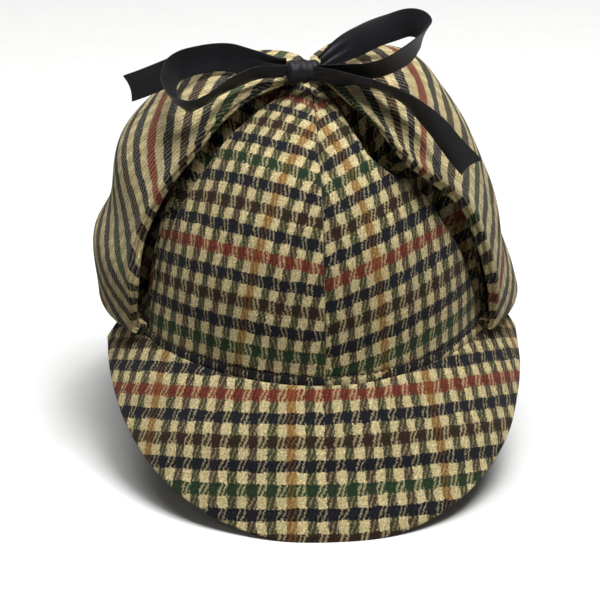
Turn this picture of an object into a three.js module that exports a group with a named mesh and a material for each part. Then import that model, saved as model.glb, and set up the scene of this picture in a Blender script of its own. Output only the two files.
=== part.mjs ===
// Deerstalker hat: six-panel crown, two peaks, two raised ear flaps and a ribbon bow.
// Millimetres, +Z up; the back of the hat faces -Y and the hat rests on both peaks at z = 0.
import * as THREE from 'three';

// Crown: outer half width, half length and height, and the numbers of its rounded profile
const CROWN = { halfWidth: 88, halfLength: 102, height: 111, lean: 0.1, rise: 3, round: 2.4 };
const CROWN_WALL = 2;
const CROWN_TOP_DEG = 89.55;
const RIM_BACK_Z = 54;
const RIM_SIDE_RISE = 7;
const PANEL_GAP = 0.5;
const PANEL_DEG = 60;
const PANEL_COLUMNS = 7;
const PANEL_ROWS = 13;

// Panels in order round the crown, from the centre back seam towards +X
const PANEL_NAMES = [
  'crown_panel_back_right', 'crown_panel_right', 'crown_panel_front_right',
  'crown_panel_front_left', 'crown_panel_left', 'crown_panel_back_left',
];

// Peaks: depth and downward slope at the middle and at the ends
const PEAK = { depth: 67.5, endDepth: 13, halfDeg: 75, slope: 55.5, endSlope: 52, bend: 7 };
const PEAK_WALL = 3;
const PEAK_SEAM = { out: 0.17, down: 0.3 };
const PEAK_FULLNESS = 1.2;
const PEAK_SLOPE_FULLNESS = 0.6;
const PEAK_COLUMNS = 33;
const PEAK_ROWS = 7;

// Ear flaps: reach towards the back and front and stand-off from the crown, at shares of the way up
const FLAP_WALL = 3;
const FLAP_REACH = 0.992;
const FLAP_EASE = 0.8;
const FLAP_FOLD = { height: 10.5, gap: 0.35, leg: 1.5, turns: 4 };
const FLAP_TIP = { drop: 0.12, round: 2.6 };
const FLAP_COLUMNS = 15;
const FLAP_ROWS = 14;
const LEFT_FLAP = [
  { up: 0.00, rear: 50, front: 52, standRear: 4.5, stand: 6.9, standFront: 5.0 },
  { up: 0.13, rear: 57, front: 62, standRear: 10.0, stand: 12.1, standFront: 10.5 },
  { up: 0.24, rear: 55, front: 64, standRear: 11.0, stand: 8.9, standFront: 9.6 },
  { up: 0.40, rear: 54, front: 60, standRear: 10.0, stand: 13.7, standFront: 10.0 },
  { up: 0.57, rear: 52, front: 54, standRear: 9.5, stand: 12.1, standFront: 9.1 },
  { up: 0.73, rear: 44, front: 43, standRear: 9.0, stand: 10.2, standFront: 8.2 },
  { up: 0.87, rear: 33, front: 30, standRear: 7.0, stand: 6.6, standFront: 5.5 },
  { up: 1.00, rear: 22, front: 17, standRear: 4.5, stand: 4.0, standFront: 4.0 },
];
const RIGHT_FLAP = [
  { up: 0.00, rear: 56, front: 52, standRear: 4.5, stand: 9.4, standFront: 5.5 },
  { up: 0.15, rear: 65, front: 62, standRear: 10.5, stand: 3.4, standFront: 3.4 },
  { up: 0.30, rear: 66, front: 63, standRear: 11.0, stand: 3.7, standFront: 3.5 },
  { up: 0.45, rear: 67, front: 57, standRear: 10.5, stand: 5.5, standFront: 4.6 },
  { up: 0.60, rear: 71, front: 50, standRear: 10.5, stand: 8.8, standFront: 7.7 },
  { up: 0.73, rear: 67, front: 42, standRear: 10.0, stand: 13.4, standFront: 10.5 },
  { up: 0.87, rear: 51, front: 30, standRear: 8.0, stand: 11.5, standFront: 9.0 },
  { up: 1.00, rear: 32, front: 17, standRear: 4.5, stand: 5.0, standFront: 5.0 },
];

// Ribbon: each row is a point of the middle line, then how far the width leans to the rear and to
// the right of upright, in degrees
const RIBBON_WIDTH = 12;
const RIBBON_WALL = 0.8;
const RIBBON_STEP = 5;
const GATHER = { width: 0.65, length: 20 };
const LEFT_LOOP = [
  { x: -11.5, y: -25.5, z: 175, rearward: 0, rightward: 0 },
  { x: -16.5, y: -24.5, z: 175, rearward: -10, rightward: 0 },
  { x: -23, y: -22.5, z: 175.5, rearward: -15, rightward: 0 },
  { x: -29, y: -19.5, z: 176, rearward: -15, rightward: 0 },
  { x: -35, y: -16, z: 177, rearward: -15, rightward: 0 },
  { x: -41.5, y: -13, z: 176.5, rearward: -15, rightward: 0 },
  { x: -49.5, y: -13, z: 175.5, rearward: -12, rightward: 0 },
  { x: -57, y: -16, z: 174.5, rearward: -5, rightward: -10 },
  { x: -62, y: -24, z: 173, rearward: 10, rightward: -28 },
  { x: -63.5, y: -35, z: 169, rearward: 35, rightward: -34 },
  { x: -61, y: -44, z: 165.5, rearward: 50, rightward: -22 },
  { x: -54.5, y: -49, z: 164.5, rearward: 55, rightward: 0 },
  { x: -47, y: -48, z: 167, rearward: 52, rightward: 0 },
  { x: -39.5, y: -44, z: 171, rearward: 50, rightward: 0 },
  { x: -32, y: -40, z: 173.5, rearward: 50, rightward: 0 },
  { x: -24.5, y: -36, z: 175, rearward: 45, rightward: 0 },
  { x: -12, y: -31, z: 174.5, rearward: 40, rightward: 0 },
];
const RIGHT_LOOP = [
  { x: 4, y: -25.5, z: 176, rearward: -10, rightward: 0 },
  { x: 8.5, y: -22, z: 178, rearward: -18, rightward: 0 },
  { x: 15, y: -20, z: 181.5, rearward: -20, rightward: 0 },
  { x: 21.5, y: -19, z: 184.5, rearward: -20, rightward: 0 },
  { x: 28.5, y: -18, z: 187.5, rearward: -20, rightward: 0 },
  { x: 36, y: -18, z: 190, rearward: -18, rightward: 0 },
  { x: 42.5, y: -20, z: 192.5, rearward: -12, rightward: 10 },
  { x: 47, y: -26, z: 193, rearward: 2, rightward: 20 },
  { x: 48.5, y: -33, z: 191.5, rearward: 14, rightward: 20 },
  { x: 44.5, y: -39, z: 188, rearward: 24, rightward: 10 },
  { x: 38.5, y: -42, z: 183.5, rearward: 30, rightward: 0 },
  { x: 30.5, y: -43, z: 179.5, rearward: 36, rightward: 0 },
  { x: 23, y: -41, z: 177, rearward: 42, rightward: 0 },
  { x: 15.5, y: -37.5, z: 176, rearward: 48, rightward: 0 },
  { x: 9, y: -34.5, z: 175.5, rearward: 46, rightward: 0 },
  { x: 3, y: -31, z: 174.5, rearward: 40, rightward: 0 },
];
const LEFT_TAIL = [
  { x: -11.5, y: -21.5, z: 172, rearward: 80, rightward: 0 },
  { x: -22, y: -12, z: 173, rearward: 85, rightward: 0 },
  { x: -34.5, y: -6, z: 175, rearward: 65, rightward: 0 },
  { x: -48.5, y: -4, z: 174, rearward: 25, rightward: 0 },
  { x: -56.5, y: -3, z: 170.5, rearward: 10, rightward: 0 },
  { x: -63.5, y: -3, z: 167, rearward: 0, rightward: 0 },
  { x: -73, y: -3, z: 163, rearward: -8, rightward: 0 },
  { x: -81, y: -4, z: 160.5, rearward: -10, rightward: 0 },
];
const RIGHT_TAIL = [
  { x: 0.5, y: -33.5, z: 174, rearward: 30, rightward: 0 },
  { x: 8.5, y: -39, z: 173.5, rearward: 42, rightward: 0 },
  { x: 15.5, y: -45, z: 174, rearward: 58, rightward: 0 },
  { x: 23, y: -51, z: 173.5, rearward: 64, rightward: 0 },
  { x: 30, y: -57, z: 172, rearward: 60, rightward: 0 },
  { x: 36.5, y: -61, z: 169.5, rearward: 48, rightward: 0 },
  { x: 43.5, y: -65, z: 164.5, rearward: 32, rightward: 0 },
  { x: 50.5, y: -68, z: 158, rearward: 20, rightward: 0 },
  { x: 57, y: -70, z: 150, rearward: 14, rightward: 0 },
  { x: 64.5, y: -72, z: 141.5, rearward: 10, rightward: 0 },
];
const KNOT = { x: -4, y: -28, z: 174.6, halfWidth: 7.4, halfDepth: 6, halfHeight: 4.2 };

// Finishes: woollen tweed and black satin ribbon
const TWEED = { color: 0x8f7f56, roughness: 0.95, metalness: 0 };
const SATIN = { color: 0x141418, roughness: 0.4, metalness: 0 };

const radians = THREE.MathUtils.degToRad;
const mix = THREE.MathUtils.lerp;

// Share of the full width that the crown keeps at a share of its height
function spread(share) {
  const full = Math.max(0, 1 - share ** CROWN.rise);
  return (1 - CROWN.lean * share) * full ** (1 / CROWN.round);
}

// Point of the crown, or of the same dome grown by a stand-off
function domePoint(angle, share, grow) {
  const wide = spread(share);
  return new THREE.Vector3(
    (CROWN.halfWidth + grow) * wide * Math.cos(angle),
    (CROWN.halfLength + grow) * wide * Math.sin(angle),
    RIM_BACK_Z + (CROWN.height + grow) * share,
  );
}

// The rim rises a little from the back and front towards the sides
function rimShare(angle) {
  return RIM_SIDE_RISE * Math.cos(angle) ** 2 / CROWN.height;
}

// Half width of the grown dome at a distance y and a share of its height
function domeHalfWidth(y, share, grow) {
  const wide = spread(share);
  const along = y / (CROWN.halfLength + grow);
  return (CROWN.halfWidth + grow) * Math.sqrt(Math.max(0, wide * wide - along * along));
}

// Smooth value at a share of the way between the second and third of four
function smooth(values, share) {
  const [before, from, to, after] = values;
  const leave = (to - before) / 2;
  const arrive = (after - from) / 2;
  const cubic = 2 * (from - to) + leave + arrive;
  const square = 3 * (to - from) - 2 * leave - arrive;
  return ((cubic * share + square) * share + leave) * share + from;
}

// Row of a table at a share of the way up, read smoothly between its rows
function tableRow(table, up) {
  const last = table.length - 1;
  let row = 0;
  while (row < last - 1 && table[row + 1].up < up) {
    row += 1;
  }
  const four = [row - 1, row, row + 1, row + 2].map((k) => table[THREE.MathUtils.clamp(k, 0, last)]);
  const share = (up - four[1].up) / (four[2].up - four[1].up);
  const found = {};
  for (const column of Object.keys(four[1])) {
    found[column] = smooth(four.map((entry) => entry[column]), share);
  }
  return found;
}

function neighbours(list, index) {
  return [list[Math.max(0, index - 1)], list[Math.min(list.length - 1, index + 1)]];
}

// Two faces of a cloth whose middle surface is a grid of points
function thicken(grid, wall) {
  const front = [];
  const back = [];
  grid.forEach((row, i) => {
    const [before, after] = neighbours(grid, i);
    front.push([]);
    back.push([]);
    row.forEach((point, j) => {
      const [left, right] = neighbours(row, j);
      const up = after[j].clone().sub(before[j]);
      const across = right.clone().sub(left);
      const out = up.cross(across).normalize().multiplyScalar(wall / 2);
      front[i].push(point.clone().add(out));
      back[i].push(point.clone().sub(out));
    });
  });
  return { front, back };
}

// Closed mesh of two faces and the edge between them
function closedMesh(name, { front, back }, finish) {
  const rows = front.length;
  const columns = front[0].length;
  const corners = [...front.flat(), ...back.flat()];
  const index = [];
  const at = (face, i, j) => face * rows * columns + i * columns + j;
  const quad = (a, b, c, d) => index.push(a, b, c, a, c, d);
  for (let i = 0; i + 1 < rows; i += 1) {
    for (let j = 0; j + 1 < columns; j += 1) {
      quad(at(0, i, j), at(0, i + 1, j), at(0, i + 1, j + 1), at(0, i, j + 1));
      quad(at(1, i, j), at(1, i, j + 1), at(1, i + 1, j + 1), at(1, i + 1, j));
    }
  }
  for (let i = 0; i + 1 < rows; i += 1) {
    const end = columns - 1;
    quad(at(0, i, 0), at(1, i, 0), at(1, i + 1, 0), at(0, i + 1, 0));
    quad(at(0, i, end), at(0, i + 1, end), at(1, i + 1, end), at(1, i, end));
  }
  for (let j = 0; j + 1 < columns; j += 1) {
    const end = rows - 1;
    quad(at(0, 0, j), at(0, 0, j + 1), at(1, 0, j + 1), at(1, 0, j));
    quad(at(0, end, j), at(1, end, j), at(1, end, j + 1), at(0, end, j + 1));
  }
  const geometry = new THREE.BufferGeometry().setFromPoints(corners);
  geometry.setIndex(index);
  geometry.computeVertexNormals();
  const mesh = new THREE.Mesh(geometry, new THREE.MeshStandardMaterial(finish));
  mesh.name = name;
  return mesh;
}

// One sixth of the crown, from the rim to the top
function crownPanel(name, order) {
  const start = radians(order * PANEL_DEG - 90);
  const span = radians(PANEL_DEG);
  const radius = (CROWN.halfWidth + CROWN.halfLength) / 2;
  const grid = [];
  for (let i = 0; i < PANEL_ROWS; i += 1) {
    const turn = radians(CROWN_TOP_DEG * i / (PANEL_ROWS - 1));
    const rise = Math.sin(turn) ** (2 / CROWN.rise);
    const gap = PANEL_GAP / 2 / (radius * spread(rise));
    grid.push([]);
    for (let j = 0; j < PANEL_COLUMNS; j += 1) {
      const angle = start + gap + (span - 2 * gap) * j / (PANEL_COLUMNS - 1);
      const share = mix(rimShare(angle), 1, rise);
      grid[i].push(domePoint(angle, share, -CROWN_WALL / 2));
    }
  }
  return closedMesh(name, thicken(grid, CROWN_WALL), TWEED);
}

// Peak sewn to the rim; cloth that would pass the floor is pressed flat on it
function peak(name, side) {
  const grid = [];
  for (let i = 0; i < PEAK_ROWS; i += 1) {
    const down = i / (PEAK_ROWS - 1);
    grid.push([]);
    for (let j = 0; j < PEAK_COLUMNS; j += 1) {
      const turn = PEAK.halfDeg * (2 * j / (PEAK_COLUMNS - 1) - 1);
      const angle = radians(side * 90 - turn);
      const middle = Math.max(0, Math.cos(radians(90 * turn / PEAK.halfDeg)));
      const depth = mix(PEAK.endDepth, PEAK.depth, middle ** PEAK_FULLNESS);
      const slope = mix(PEAK.endSlope, PEAK.slope, middle ** PEAK_SLOPE_FULLNESS);
      const first = radians(slope - PEAK.bend);
      const sweep = radians(2 * PEAK.bend);
      const now = first + sweep * down;
      const out = depth * (Math.sin(now) - Math.sin(first)) / sweep + PEAK_SEAM.out;
      const fall = depth * (Math.cos(first) - Math.cos(now)) / sweep + PEAK_SEAM.down;
      const rim = domePoint(angle, rimShare(angle), 0);
      const normal = new THREE.Vector3(
        Math.cos(angle) / CROWN.halfWidth,
        Math.sin(angle) / CROWN.halfLength,
        0,
      ).normalize();
      grid[i].push(rim.addScaledVector(normal, out).setZ(rim.z - fall));
    }
  }
  const faces = thicken(grid, PEAK_WALL);
  for (const point of [...faces.front.flat(), ...faces.back.flat()]) {
    point.z = Math.max(0, point.z);
  }
  return closedMesh(name, faces, TWEED);
}

// Highest share of the dome that still reaches a distance y
function topShare(y, grow) {
  const wanted = Math.abs(y) / (CROWN.halfLength + grow);
  let low = 0;
  let high = 1;
  for (let i = 0; i < 40; i += 1) {
    const middle = (low + high) / 2;
    if (spread(middle) > wanted) {
      low = middle;
    } else {
      high = middle;
    }
  }
  return low;
}

// Point of a flap's middle surface, across from its rear edge (-1) to its front edge (1)
function flapPoint(table, side, across, up) {
  const row = tableRow(table, up);
  const y = across * (across < 0 ? row.rear : row.front);
  const stand = mix(row.stand, across < 0 ? row.standRear : row.standFront, across * across);
  const share = topShare(y, stand) * Math.sin(up * FLAP_REACH * Math.PI / 2) ** FLAP_EASE;
  const x = side * domeHalfWidth(y, share, stand);
  const point = new THREE.Vector3(x, y, RIM_BACK_Z + (CROWN.height + stand) * share);
  return { point, stand };
}

// Share of the way up at which a flap leaves its fold
function flapStart(table, side, across) {
  let up = 0;
  while (flapPoint(table, side, across, up).point.z < RIM_BACK_Z + FLAP_FOLD.height) {
    up += 0.001;
  }
  return up;
}

// Share of the way up at which a flap ends, lower towards the sides of its rounded tip
function flapEnd(across) {
  const corner = (1 - Math.abs(across) ** FLAP_TIP.round) ** (1 / FLAP_TIP.round);
  return 1 - FLAP_TIP.drop * (1 - corner);
}

// Ear flap: a short leg against the crown, a rolled fold, then the raised cloth to a rounded tip
function earFlap(name, side, table) {
  const inner = FLAP_FOLD.gap + FLAP_WALL / 2;
  const lines = [];
  for (let j = 0; j < FLAP_COLUMNS; j += 1) {
    const across = side * (1 - 2 * j / (FLAP_COLUMNS - 1));
    const start = flapStart(table, side, across);
    const end = flapEnd(across);
    const { point, stand } = flapPoint(table, side, across, start);
    const radius = (stand - inner) / 2;
    const line = [];
    for (let i = 0; i <= FLAP_FOLD.turns; i += 1) {
      const turn = Math.PI * Math.max(0, i - 1) / FLAP_FOLD.turns;
      const out = inner + radius * (1 - Math.cos(turn));
      const z = point.z - radius * Math.sin(turn) + (i === 0 ? FLAP_FOLD.leg : 0);
      const share = Math.max(0, (z - RIM_BACK_Z) / (CROWN.height + out));
      line.push(new THREE.Vector3(side * domeHalfWidth(point.y, share, out), point.y, z));
    }
    for (let i = 0; i < FLAP_ROWS; i += 1) {
      line.push(flapPoint(table, side, across, mix(start, end, i / (FLAP_ROWS - 1))).point);
    }
    lines.push(line);
  }
  const grid = lines[0].map((_, i) => lines.map((line) => line[i]));
  return closedMesh(name, thicken(grid, FLAP_WALL), TWEED);
}

// Share of the ribbon's width at a distance from the knot, where it is gathered
function gathered(distance) {
  return mix(GATHER.width, 1, THREE.MathUtils.smoothstep(distance, 0, GATHER.length));
}

// Strip of ribbon along a smooth line, its width leaning as the rows say
function ribbon(name, rows, endsAtKnot) {
  const curve = new THREE.CatmullRomCurve3(rows.map((row) => new THREE.Vector3(row.x, row.y, row.z)));
  const length = curve.getLength();
  const steps = Math.round(length / RIBBON_STEP);
  const grid = [];
  for (let i = 0; i <= steps; i += 1) {
    const share = curve.getUtoTmapping(i / steps);
    const place = share * (rows.length - 1);
    const row = Math.min(rows.length - 2, Math.floor(place));
    const rearward = radians(mix(rows[row].rearward, rows[row + 1].rearward, place - row));
    const rightward = radians(mix(rows[row].rightward, rows[row + 1].rightward, place - row));
    const along = curve.getTangent(share);
    const across = new THREE.Vector3(0, -Math.sin(rearward), Math.cos(rearward));
    across.multiplyScalar(Math.cos(rightward)).setX(Math.sin(rightward));
    across.addScaledVector(along, -across.dot(along)).normalize();
    const distance = length * i / steps;
    const nearest = endsAtKnot ? Math.min(distance, length - distance) : distance;
    const width = RIBBON_WIDTH * gathered(nearest);
    const middle = curve.getPoint(share);
    grid.push([-0.5, 0, 0.5].map((part) => middle.clone().addScaledVector(across, part * width)));
  }
  return closedMesh(name, thicken(grid, RIBBON_WALL), SATIN);
}

function bowKnot(name) {
  const geometry = new THREE.SphereGeometry(1, 14, 10);
  geometry.scale(KNOT.halfWidth, KNOT.halfDepth, KNOT.halfHeight);
  geometry.translate(KNOT.x, KNOT.y, KNOT.z);
  const mesh = new THREE.Mesh(geometry, new THREE.MeshStandardMaterial(SATIN));
  mesh.name = name;
  return mesh;
}

const hat = new THREE.Group();
hat.name = 'deerstalker_hat';
PANEL_NAMES.forEach((name, order) => hat.add(crownPanel(name, order)));
hat.add(peak('back_peak', -1));
hat.add(peak('front_peak', 1));
hat.add(earFlap('left_ear_flap', -1, LEFT_FLAP));
hat.add(earFlap('right_ear_flap', 1, RIGHT_FLAP));
hat.add(bowKnot('bow_knot'));
hat.add(ribbon('left_bow_loop', LEFT_LOOP, true));
hat.add(ribbon('right_bow_loop', RIGHT_LOOP, true));
hat.add(ribbon('left_bow_tail', LEFT_TAIL, false));
hat.add(ribbon('right_bow_tail', RIGHT_TAIL, false));

export default hat;
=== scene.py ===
import math

import bpy
import numpy as np
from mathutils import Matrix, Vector


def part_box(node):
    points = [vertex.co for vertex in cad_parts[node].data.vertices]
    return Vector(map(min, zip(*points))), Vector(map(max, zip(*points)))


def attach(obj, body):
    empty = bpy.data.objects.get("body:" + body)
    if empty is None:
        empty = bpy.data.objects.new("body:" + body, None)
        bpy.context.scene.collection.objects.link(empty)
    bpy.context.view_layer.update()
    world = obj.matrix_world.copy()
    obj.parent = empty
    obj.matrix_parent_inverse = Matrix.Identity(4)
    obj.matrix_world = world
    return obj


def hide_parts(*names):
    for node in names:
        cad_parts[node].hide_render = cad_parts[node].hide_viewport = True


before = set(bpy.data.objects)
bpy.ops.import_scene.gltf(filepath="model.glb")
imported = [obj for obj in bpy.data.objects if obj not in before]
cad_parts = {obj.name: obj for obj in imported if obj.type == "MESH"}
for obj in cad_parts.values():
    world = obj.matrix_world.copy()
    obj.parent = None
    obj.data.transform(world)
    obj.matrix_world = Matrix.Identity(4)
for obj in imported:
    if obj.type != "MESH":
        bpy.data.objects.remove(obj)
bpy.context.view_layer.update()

bl_info = {
    "name": "Deerstalker Hat",
    "version": (1, 0, 0),
    "blender": (4, 5, 0),
    "location": "View3D > Sidebar > Hat",
    "description": "Builds a tweed deerstalker with its ear flaps tied up by a satin ribbon",
    "category": "Add Mesh",
}


def named_rows(columns, *rows):
    """Table whose rows are read by the names of their columns."""
    return [dict(zip(columns, row)) for row in rows]


# Shapes are worked out in millimetres and stored in metres
MM = 0.001
BODY = "root"

# Least values, so that nothing is divided by zero
TINY = 1e-6
LEAST_LENGTH = 1e-9

# Points at which a curve is worked out before it is read in between
SAMPLES = {"climb": 2000, "top": 3000, "fold": 1001}

# Cloth: steps round an edge, the waves that make cloth uneven, and how uneven each kind of piece is
EDGE_STEPS = 6
WAVES = {"count": 6, "shortest": 22.0, "longest": 70.0, "full": 3.0}
RIPPLES = {
    "crown": {"seed": 400, "size": 0.5, "from_seam": 9.0},
    "peak": {"seed": 90, "size": 0.45, "from_seam": 20.0},
    "flap": {"seed": 70, "size": 0.8, "from_fold": 30.0},
}

# Crown: outer half width, half length and height, and the numbers of its rounded profile
CROWN = {"half_width": 88.0, "half_length": 102.0, "height": 111.0, "lean": 0.1, "rise": 3.0, "round": 2.4}
CROWN_TOP_DEG = 89.4
RIM_BACK_Z = 54.0
RIM_SIDE_RISE = 7.0
PANEL_DEG = 60.0
PANEL_GRID = {"rim_rows": 26, "rim_reach": 0.09, "rows": 84, "columns": 96, "least_span": 0.02}
LEAST_NARROWING = 0.001
SEAM = {"depth": 0.9, "width": 2.4, "gap": 0.1}
RIM_ROLL = {"height": 2.2, "swell": 0.5, "width": 1.8}
RIM_STITCH = {"height": 4.8, "depth": 0.5, "width": 0.9}
STITCH = {"length": 2.4, "pitch": 3.1, "radius": 0.3, "arch": 0.2, "end": 0.06, "rings": 7, "sides": 8}

# Each panel: its middle direction, how its rows tilt and its columns lean, where its check starts,
# and which way its twill runs
PANELS = named_rows(
    ("side", "deg", "tilt", "lean", "across", "up", "twill"),
    ("back_right", -60, 0.183, 0.0, 24.0, -54.2, -1),
    ("right", 0, 0.05, 0.03, 9.0, -40.0, 1),
    ("front_right", 60, -0.08, 0.06, -5.0, -54.0, 1),
    ("front_left", 120, 0.08, -0.05, 14.0, -54.0, -1),
    ("left", 180, -0.04, 0.0, 30.0, -33.0, -1),
    ("back_left", -120, -0.034, 0.128, -5.1, -54.3, 1),
)

# Peaks: depth and downward slope at the middle and at the ends, and the spread of the flat cut
PEAK = {"depth": 67.5, "end_depth": 13.0, "half_deg": 75.0, "slope": 55.5, "end_slope": 52.0, "bend": 7.0}
PEAK_SEAM = {"out": 0.17, "down": 0.3}
PEAK_FULLNESS = 1.2
PEAK_SLOPE_FULLNESS = 0.6
PEAK_TUCK = 0.3
PEAK_GRID = {"rows": 44, "columns": 150}
PEAK_CUT = {"cone": 0.4, "radius": 95.0}
PEAKS = named_rows(
    ("side", "facing", "across", "up", "twill"),
    ("back", -1, 17.7, 5.9, -1),
    ("front", 1, -9.0, 5.9, -1),
)

# Ear flaps: reach to the rear and front and stand-off from the crown, at shares of the way up
FLAP_REACH = 0.992
FLAP_EASE = 0.8
FLAP_FOLD = {"height": 10.5, "gap": 0.35, "leg": 1.5, "turns": 14}
FLAP_TIP = {"drop": 0.12, "round": 2.6}
FLAP_EDGE = {"swell": 2.6, "width": 4.2, "fade": 30.0, "tip": 4.0}
FLAP_NUDGE = 0.01
FLAP_GRID = {"rows": 84, "columns": 80}
FLAP_COLUMNS = ("up", "rear", "front", "stand_rear", "stand", "stand_front")
LEFT_FLAP = (
    (0.00, 50, 52, 4.5, 6.9, 5.0),
    (0.13, 57, 62, 10.0, 12.1, 10.5),
    (0.24, 55, 64, 11.0, 8.9, 9.6),
    (0.40, 54, 60, 10.0, 13.7, 10.0),
    (0.57, 52, 54, 9.5, 12.1, 9.1),
    (0.73, 44, 43, 9.0, 10.2, 8.2),
    (0.87, 33, 30, 7.0, 6.6, 5.5),
    (1.00, 22, 17, 4.5, 4.0, 4.0),
)
RIGHT_FLAP = (
    (0.00, 56, 52, 4.5, 9.4, 5.5),
    (0.15, 65, 62, 10.5, 3.4, 3.4),
    (0.30, 66, 63, 11.0, 3.7, 3.5),
    (0.45, 67, 57, 10.5, 5.5, 4.6),
    (0.60, 71, 50, 10.5, 8.8, 7.7),
    (0.73, 67, 42, 10.0, 13.4, 10.5),
    (0.87, 51, 30, 8.0, 11.5, 9.0),
    (1.00, 32, 17, 4.5, 5.0, 5.0),
)

# Creases of the crown along the rear edge of each flap: share of the way up, depth, and how far
# outside the edge the cloth starts to sink
CREASE = {"points": 120, "width": 9.0, "under": 28.0}
LEFT_CREASE = (
    (0.00, 0.0, 1.0),
    (0.10, 12.0, 5.0),
    (0.30, 16.0, 6.0),
    (0.50, 15.0, 4.0),
    (0.70, 12.0, 3.0),
    (0.85, 8.0, 2.4),
    (1.00, 0.0, 1.0),
)
RIGHT_CREASE = (
    (0.00, 0.0, 1.0),
    (0.12, 9.0, 1.5),
    (0.22, 12.0, 2.5),
    (0.33, 16.0, 5.0),
    (0.42, 17.0, 6.0),
    (0.48, 12.0, 3.5),
    (0.55, 7.0, 1.5),
    (0.62, 5.0, 1.0),
    (0.70, 15.0, 4.5),
    (0.78, 24.0, 8.0),
    (0.86, 17.0, 6.5),
    (0.93, 5.0, 3.0),
    (1.00, 0.0, 1.0),
)

# Each flap: the side it is on, its tables, and the turn, start and twill of its check
FLAPS = named_rows(
    ("side", "facing", "table", "crease", "turn", "up", "twill"),
    ("left", -1, LEFT_FLAP, LEFT_CREASE, -62.0, 94.9, 1),
    ("right", 1, RIGHT_FLAP, RIGHT_CREASE, -73.0, 122.4, 1),
)

# Ribbon routes: a point of the middle line, then how far the width leans to the rear and to the
# right of upright, in degrees
RIBBON_STEP = 1.2
RIBBON_ACROSS = 11
GATHER = {"width": 0.65, "length": 20.0, "depth": 0.7, "folds": 5}
CURL = {"cup": 0.5, "wave": 0.35, "stretch": 4.3}
RIBBON_END = {"notch": 1.3, "length": 6.0}
LEFT_LOOP = (
    (-11.5, -25.5, 175, 0, 0),
    (-16.5, -24.5, 175, -10, 0),
    (-23, -22.5, 175.5, -15, 0),
    (-29, -19.5, 176, -15, 0),
    (-35, -16, 177, -15, 0),
    (-41.5, -13, 176.5, -15, 0),
    (-49.5, -13, 175.5, -12, 0),
    (-57, -16, 174.5, -5, -10),
    (-62, -24, 173, 10, -28),
    (-63.5, -35, 169, 35, -34),
    (-61, -44, 165.5, 50, -22),
    (-54.5, -49, 164.5, 55, 0),
    (-47, -48, 167, 52, 0),
    (-39.5, -44, 171, 50, 0),
    (-32, -40, 173.5, 50, 0),
    (-24.5, -36, 175, 45, 0),
    (-12, -31, 174.5, 40, 0),
)
RIGHT_LOOP = (
    (4, -25.5, 176, -10, 0),
    (8.5, -22, 178, -18, 0),
    (15, -20, 181.5, -20, 0),
    (21.5, -19, 184.5, -20, 0),
    (28.5, -18, 187.5, -20, 0),
    (36, -18, 190, -18, 0),
    (42.5, -20, 192.5, -12, 10),
    (47, -26, 193, 2, 20),
    (48.5, -33, 191.5, 14, 20),
    (44.5, -39, 188, 24, 10),
    (38.5, -42, 183.5, 30, 0),
    (30.5, -43, 179.5, 36, 0),
    (23, -41, 177, 42, 0),
    (15.5, -37.5, 176, 48, 0),
    (9, -34.5, 175.5, 46, 0),
    (3, -31, 174.5, 40, 0),
)
LEFT_TAIL = (
    (-11.5, -21.5, 172, 80, 0),
    (-22, -12, 173, 85, 0),
    (-34.5, -6, 175, 65, 0),
    (-48.5, -4, 174, 25, 0),
    (-56.5, -3, 170.5, 10, 0),
    (-63.5, -3, 167, 0, 0),
    (-73, -3, 163, -8, 0),
    (-81, -4, 160.5, -10, 0),
)
RIGHT_TAIL = (
    (0.5, -33.5, 174, 30, 0),
    (8.5, -39, 173.5, 42, 0),
    (15.5, -45, 174, 58, 0),
    (23, -51, 173.5, 64, 0),
    (30, -57, 172, 60, 0),
    (36.5, -61, 169.5, 48, 0),
    (43.5, -65, 164.5, 32, 0),
    (50.5, -68, 158, 20, 0),
    (57, -70, 150, 14, 0),
    (64.5, -72, 141.5, 10, 0),
)
RIBBONS = named_rows(
    ("piece", "node", "route", "loop"),
    ("left_loop", "left_bow_loop", LEFT_LOOP, True),
    ("right_loop", "right_bow_loop", RIGHT_LOOP, True),
    ("left_tail", "left_bow_tail", LEFT_TAIL, False),
    ("right_tail", "right_bow_tail", RIGHT_TAIL, False),
)
KNOT_GRID = {"segments": 64, "rings": 40}
KNOT_PLEATS = {"count": 3, "depth": 0.07, "barrel": 3.2, "sway": 0.5, "start": 0.4, "end": 0.1}
KNOT_FULLNESS = {"wide": 1.1, "tall": 1.3, "drop": 1.0}

# Weave: threads in each dark or cream band, yarns in a thread, the painted shade of the round yarns,
# the tones of threads and fibres, the twill and its ribs in threads, and the scales at which the threads
# stray, with how far
WEAVE = "tweed_weave"
BAND_THREADS = 4
YARNS = 2.0
YARN_SHADE = (0.78, 1.08)
THREAD_TONE = (0.8, 1.15)
FIBRES = {"scale": 1.3, "detail": 4.0, "tone": (-0.1, 2.1)}
TWILL = {"repeat": 2.0, "step": 0.5, "uneven": 0.6, "soft": 0.6, "veil": 0.06, "mute": 0.4}
RIBS = {"pitch": 2.4, "step": 0.7}
STRAYING = ((0.2, 1.2), (1.0, 0.8), (2.8, 0.7))

# Dark bands in order, each with how many threads of a repeat show the warp there
CREAM_BAND = ("cream", 1.0)
WARP_BANDS = (("gold", 1.85), *(("moss", 1.85), ("brown", 1.85)) * 3, ("moss", 1.85))
WEFT_BANDS = (
    ("red", 0.9),
    ("navy", 0.54),
    ("brown", 0.85),
    ("navy", 0.54),
    ("green", 0.85),
    ("navy", 0.54),
    ("brown", 0.85),
    ("navy", 0.54),
)

# Finishes: how far the columns and the pale strokes show, how deep the twill's ribs are shaded, and
# how pale they lie over a dark stripe
TWEEDS = {
    "tweed": {"Cross bands": 1.0, "Strokes": 1.0, "Ribs": 0.15, "Pale ribs": 0.0},
    "tweed_flap": {"Cross bands": 0.3, "Strokes": -1.0, "Ribs": 0.5, "Pale ribs": 0.65},
}

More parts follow.
